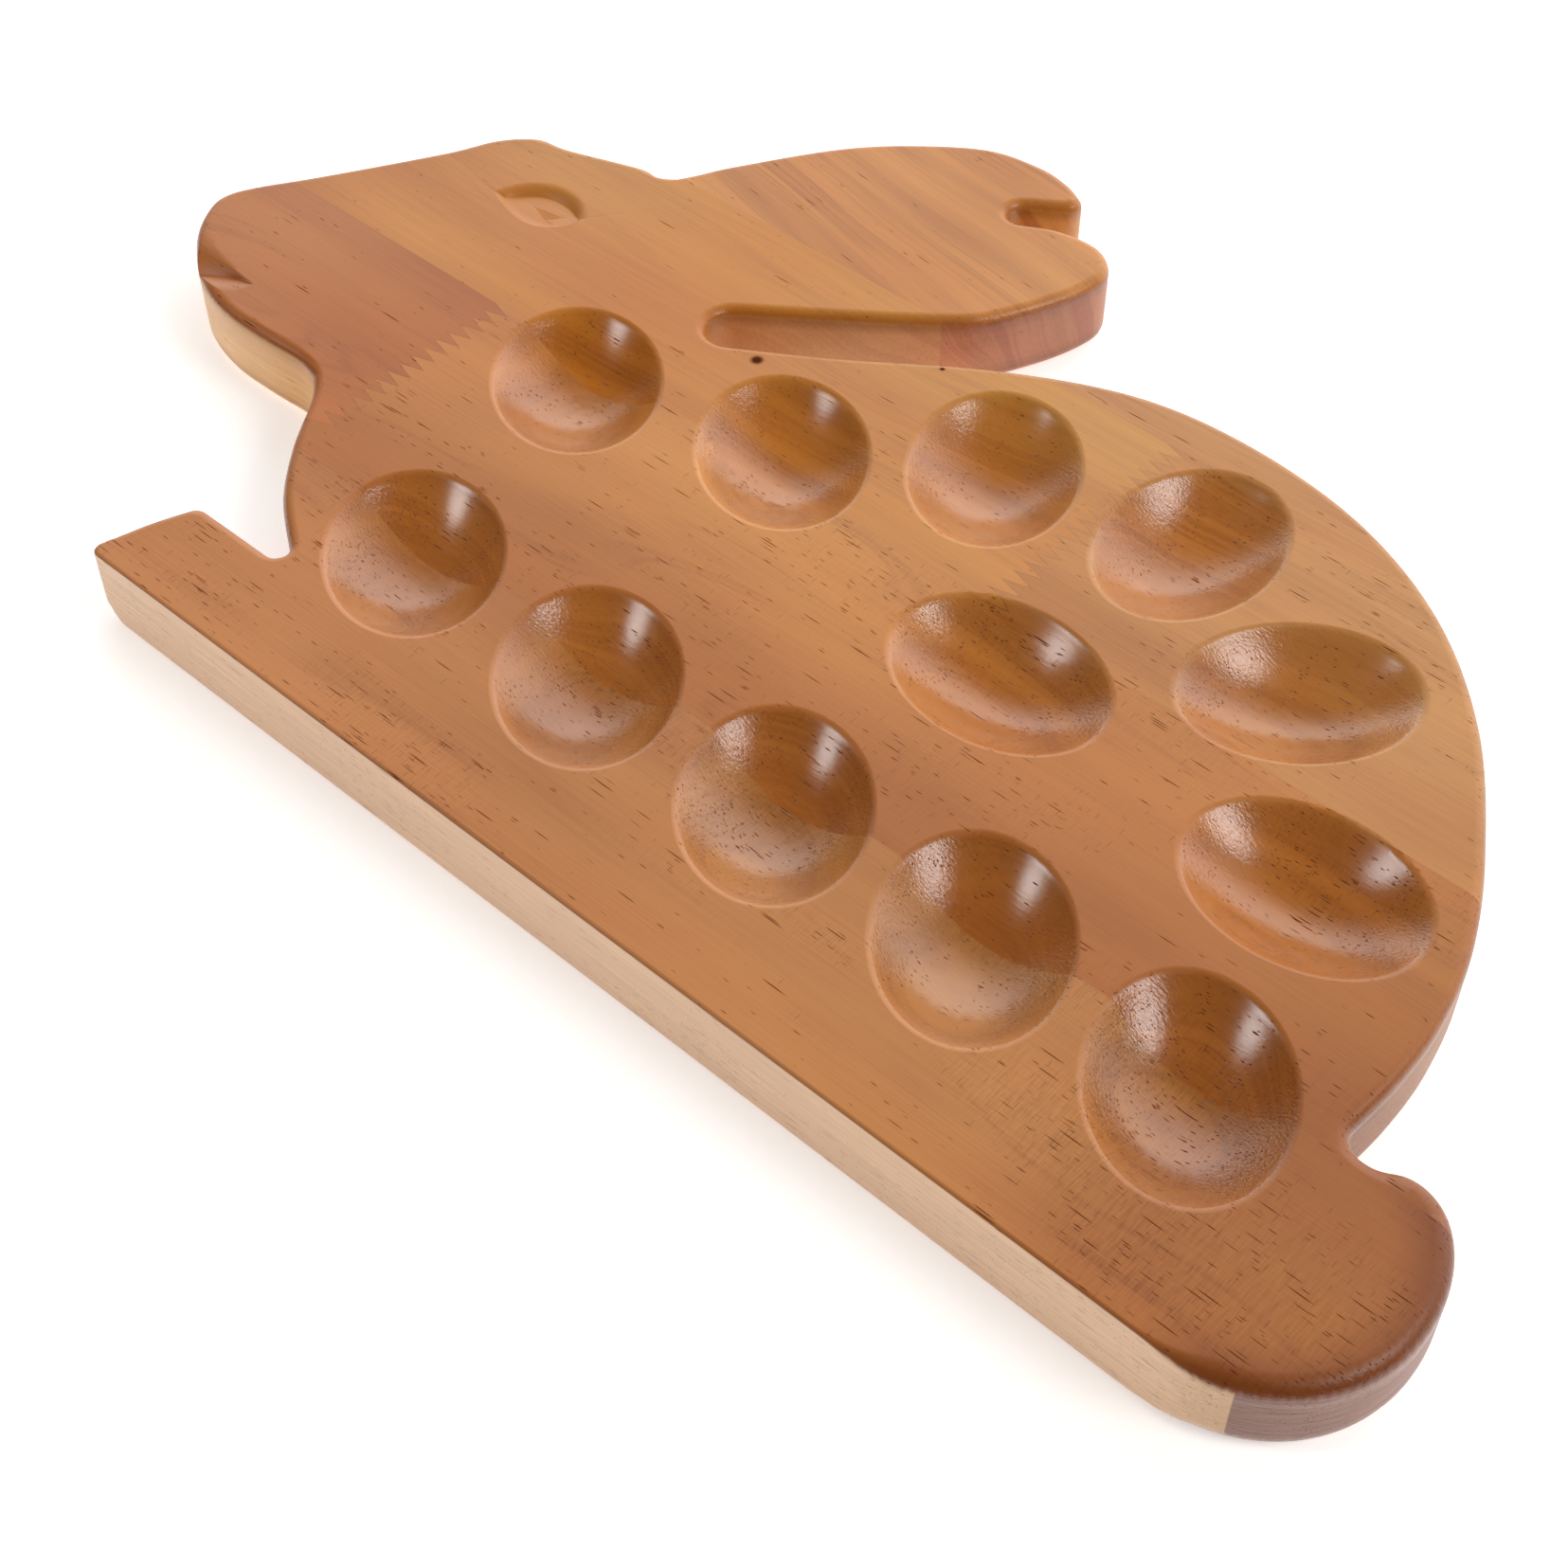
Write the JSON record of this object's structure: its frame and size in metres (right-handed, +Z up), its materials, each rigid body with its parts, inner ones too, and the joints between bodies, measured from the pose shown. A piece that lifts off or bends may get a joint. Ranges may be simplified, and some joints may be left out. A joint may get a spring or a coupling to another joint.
{
  "type": "egg tray",
  "caption": "Rabbit-shaped wooden serving board with half-egg wells, glued up from staves and finger-jointed blocks, with a carved eye and mouth and rounded edges.",
  "frame": {"origin": "on the underside, below the middle of the board's outline", "axes": "+X along the straight base edge from the paw to the tail, +Y across the staves from the base edge to the ear, +Z up out of the wells"},
  "size_m": [0.4048, 0.254, 0.02],
  "materials": {
    "base_wood": "satin lacquer",
    "muzzle_wood": "satin lacquer",
    "body_wood": "satin lacquer",
    "head_wood": "satin lacquer",
    "rump_wood": "satin lacquer",
    "ear_wood": "satin lacquer",
    "back_wood": "satin lacquer"
  },
  "bodies": {
    "root": {"base_stave": "base_wood", "muzzle_block": "muzzle_wood", "body_block": "body_wood", "head_block": "head_wood", "rump_block": "rump_wood", "ear_block": "ear_wood", "back_block": "back_wood"}
  },
  "joints": []
}
